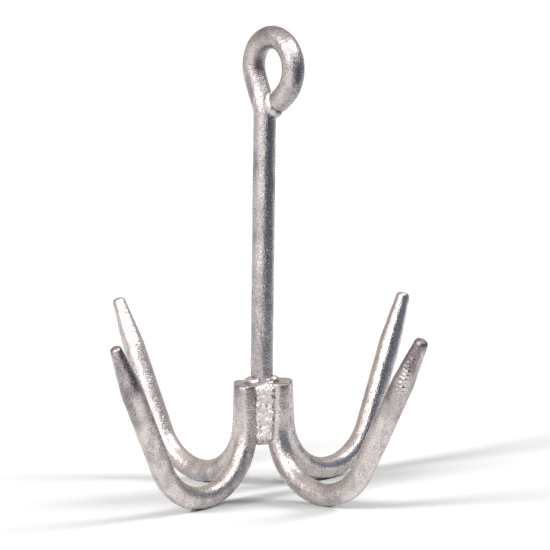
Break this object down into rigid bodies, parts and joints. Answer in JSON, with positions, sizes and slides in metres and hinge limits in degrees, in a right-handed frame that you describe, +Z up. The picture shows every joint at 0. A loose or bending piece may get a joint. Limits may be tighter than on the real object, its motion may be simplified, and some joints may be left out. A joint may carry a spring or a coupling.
{
  "type": "grapnel anchor",
  "caption": "Fixed grapnel boat anchor: galvanised round-bar hooks with blunt tapered tips, welded around a straight shank whose top is bent into a rope eye.",
  "frame": {"origin": "on the ground, in the middle of the anchor's outline seen from above, with the anchor standing on the bends of its hooks", "axes": "+Z up along the shank, +X towards hook_right and the eye's bulge, +Y towards hook_back"},
  "size_m": [0.3073, 0.2981, 0.3417],
  "materials": {
    "galvanised_bar": "hot-dip galvanised, satin silver with spangle and small zinc lumps",
    "galvanised_weld": "lumpy weld metal under hot-dip zinc"
  },
  "bodies": {
    "root": {"shank": "galvanised_bar", "hook_right": "galvanised_bar", "hook_back": "galvanised_bar", "hook_left": "galvanised_bar", "hook_front": "galvanised_bar", "weld_front_right": "galvanised_weld", "weld_back_right": "galvanised_weld", "weld_back_left": "galvanised_weld", "weld_front_left": "galvanised_weld", "weld_top_right": "galvanised_weld", "weld_top_back": "galvanised_weld", "weld_top_left": "galvanised_weld", "weld_top_front": "galvanised_weld", "weld_eye": "galvanised_weld"}
  },
  "joints": []
}
